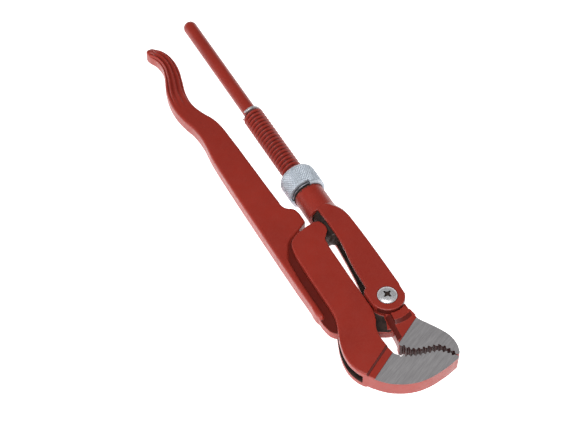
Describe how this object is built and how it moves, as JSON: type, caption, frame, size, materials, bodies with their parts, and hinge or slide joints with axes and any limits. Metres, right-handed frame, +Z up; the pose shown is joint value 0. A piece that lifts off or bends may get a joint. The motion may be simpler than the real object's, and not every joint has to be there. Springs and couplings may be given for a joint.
{
  "type": "corner pipe wrench",
  "caption": "Swedish-pattern corner pipe wrench with S-shaped toothed jaws: one leg ends in a threaded spindle, the other swings in a fork that a knurled nut moves along it.",
  "frame": {"origin": "middle of the underside of the whole tool's box, with the tool lying flat on its side", "axes": "+Y along the spindle from the jaws to the end of the round handle, +Z up through the flat side of the tool and along the pivot screw, -X towards the hooked leg"},
  "size_m": [0.0648, 0.3274, 0.0246],
  "materials": {
    "red_paint": "satin red lacquer on forged steel",
    "ground_steel": "side faces of both jaws, ground flat after painting, with fine slanting grinding marks",
    "zinc": "zinc-plated, diamond knurled",
    "bright_steel": "bright plated"
  },
  "bodies": {
    "spindle_leg_body": {"spindle_leg": "red_paint", "stop_ring": "bright_steel"},
    "housing": {"fork_sleeve": "red_paint", "pivot_screw": "bright_steel", "pivot_sleeve_nut": "bright_steel"},
    "nut": {"adjusting_nut": "zinc", "nut_retaining_wire": "bright_steel"},
    "hooked_leg_body": {"hooked_leg": "red_paint"}
  },
  "joints": [
    {"name": "housing_slide", "type": "slide", "parent": "spindle_leg_body", "child": "housing", "axis": [0, 1, 0], "range_m": [0, 0.042]},
    {"name": "nut_spin", "type": "hinge", "parent": "housing", "child": "nut", "pos_m": [0.01214, 0.00148, 0.0123], "axis": [0, 1, 0], "range_deg": [0, 5040.4]},
    {"name": "leg_swing", "type": "hinge", "parent": "housing", "child": "hooked_leg_body", "pos_m": [0.01214, -0.10352, 0.0123], "axis": [0, 0, 1], "range_deg": [0, 20]}
  ],
  "couplings": [
    {"joint": "nut_spin", "follows": "housing_slide", "rad_per_m": 2094.4}
  ]
}
